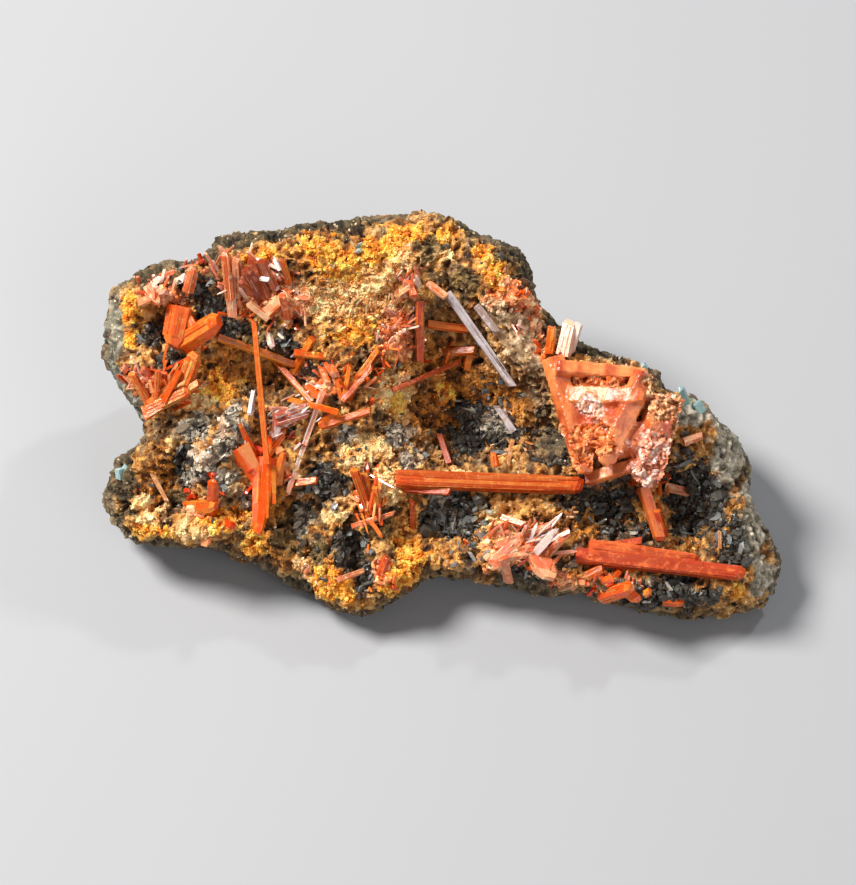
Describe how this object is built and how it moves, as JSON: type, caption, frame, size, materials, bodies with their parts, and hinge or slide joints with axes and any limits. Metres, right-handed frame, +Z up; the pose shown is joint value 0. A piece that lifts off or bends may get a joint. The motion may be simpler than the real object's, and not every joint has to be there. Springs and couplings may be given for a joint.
{
  "type": "crocoite specimen",
  "caption": "Crocoite specimen: orange-red prismatic crystals, loose needles and clusters on a hollow ochre and dark brown rock matrix, resting on a flat cut underside.",
  "frame": {"origin": "centre of the bounding box in plan, at the level of the flat cut underside", "axes": "+Z up, +X along the specimen's length to the viewer's right, +Y away from the viewer; the crystal face slopes up towards +Y"},
  "size_m": [0.0769, 0.0443, 0.0305],
  "materials": {
    "matrix_rock": "cellular limonite and manganese oxide rock, ochre, tan, brown and near-black, matt",
    "orange_crystal": "bright orange translucent crystal, glossy, striated along its length",
    "deep_red_crystal": "deep orange-red translucent crystal, glossy",
    "brown_red_crystal": "dull brownish red crystal, satin",
    "rose_crystal": "pinkish orange crystal with a pale frosted crust",
    "grey_coated_crystal": "crystal coated with grey oxide, nearly matt",
    "pale_crystal": "pale pinkish white crystal with bright facets"
  },
  "bodies": {
    "root": {"matrix": "matrix_rock", "bridge_prism": "deep_red_crystal", "great_prism": "brown_red_crystal", "skeletal_mass": "rose_crystal", "cross_prism": "orange_crystal", "ember_mass": "deep_red_crystal", "red_block_pair": "orange_crystal", "left_fan": "orange_crystal", "needle_tall": "orange_crystal", "pale_needle": "pale_crystal", "grey_needle": "grey_coated_crystal", "diagonal_blade": "orange_crystal", "slant_prism": "orange_crystal", "pale_twins": "pale_crystal", "twin_prism": "orange_crystal", "white_sheaf": "pale_crystal", "wing_cluster": "rose_crystal", "crest_cluster_left": "orange_crystal", "crest_cluster_middle": "deep_red_crystal", "crest_cluster_right": "rose_crystal", "crest_splinter": "orange_crystal", "knot": "orange_crystal", "pale_stub_pair": "rose_crystal", "flash_blade": "pale_crystal", "crossing_prism": "orange_crystal", "amber_knot": "orange_crystal", "white_splinter": "pale_crystal", "amber_finger": "deep_red_crystal", "ember_pair": "deep_red_crystal", "amber_fan": "orange_crystal", "fan_bottom": "orange_crystal", "pale_bar": "pale_crystal", "under_prop": "brown_red_crystal", "slender_red": "brown_red_crystal", "orange_stub": "orange_crystal", "pale_splinter": "pale_crystal", "grey_bundle": "grey_coated_crystal", "dull_upright": "brown_red_crystal", "dull_crossbar": "brown_red_crystal", "rose_bar": "rose_crystal", "grey_short": "grey_coated_crystal", "amber_elbow": "orange_crystal", "thin_rod": "brown_red_crystal", "rose_fan": "rose_crystal", "rose_stub": "rose_crystal", "rose_spray": "rose_crystal", "under_stub": "orange_crystal", "red_blocks": "deep_red_crystal", "end_on_prism": "orange_crystal", "low_block": "orange_crystal", "tan_prism": "orange_crystal", "rose_flake": "rose_crystal", "rose_bar_low": "rose_crystal", "ember_low": "deep_red_crystal", "rim_needle": "pale_crystal", "rose_crest": "rose_crystal", "rose_corner": "rose_crystal", "lobe_needle": "pale_crystal"}
  },
  "joints": []
}
